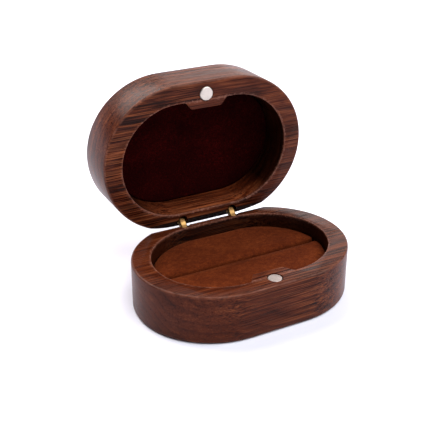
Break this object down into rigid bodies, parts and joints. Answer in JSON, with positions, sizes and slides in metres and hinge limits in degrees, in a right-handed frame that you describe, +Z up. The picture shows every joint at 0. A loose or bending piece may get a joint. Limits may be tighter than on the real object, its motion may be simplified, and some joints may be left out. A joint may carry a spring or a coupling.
{
  "type": "ring box",
  "caption": "Oval walnut ring box with a hinged lid, magnets at the front, a suede-covered cushion insert with a ring slot and a velvet-lined lid.",
  "frame": {"origin": "centre of the base's flat underside", "axes": "+X along the box's length, +Y from the front to the hinged rear edge, +Z up; the lid is open at rest"},
  "size_m": [0.08, 0.0725, 0.0717],
  "materials": {
    "walnut": "oiled satin",
    "suede": "suede nap",
    "foam": "open-cell foam",
    "card": "matt card",
    "velvet": "velvet pile",
    "nickel": "plated satin",
    "brass": "polished",
    "steel": "ground"
  },
  "bodies": {
    "base": {"base_body": "walnut", "base_magnet": "nickel", "insert_board": "card", "rear_cushion_foam": "foam", "rear_cushion_cover": "suede", "front_cushion_foam": "foam", "front_cushion_cover": "suede", "left_base_barrel": "brass", "left_base_pin": "steel", "right_base_barrel": "brass", "right_base_pin": "steel"},
    "left_link": {"left_link": "brass"},
    "right_link": {"right_link": "brass"},
    "lid": {"lid_body": "walnut", "lid_magnet": "nickel", "lid_lining": "velvet", "lid_lining_board": "card", "left_lid_barrel": "brass", "left_lid_pin": "steel", "right_lid_barrel": "brass", "right_lid_pin": "steel"}
  },
  "joints": [
    {"name": "base_left_link", "type": "hinge", "parent": "base", "child": "left_link", "pos_m": [-0.01035, 0.0248, 0.0161], "axis": [1, 0, 0], "range_deg": [0, 45.5]},
    {"name": "left_link_lid", "type": "hinge", "parent": "left_link", "child": "lid", "pos_m": [-0.01035, 0.02794, 0.01918], "axis": [1, 0, 0], "range_deg": [0, 45.5]},
    {"name": "base_right_link", "type": "hinge", "parent": "base", "child": "right_link", "pos_m": [0.01035, 0.0248, 0.0161], "axis": [1, 0, 0], "range_deg": [0, 45.5]}
  ],
  "couplings": [
    {"joint": "left_link_lid", "follows": "base_left_link", "ratio": 1},
    {"joint": "base_right_link", "follows": "base_left_link", "ratio": 1}
  ]
}
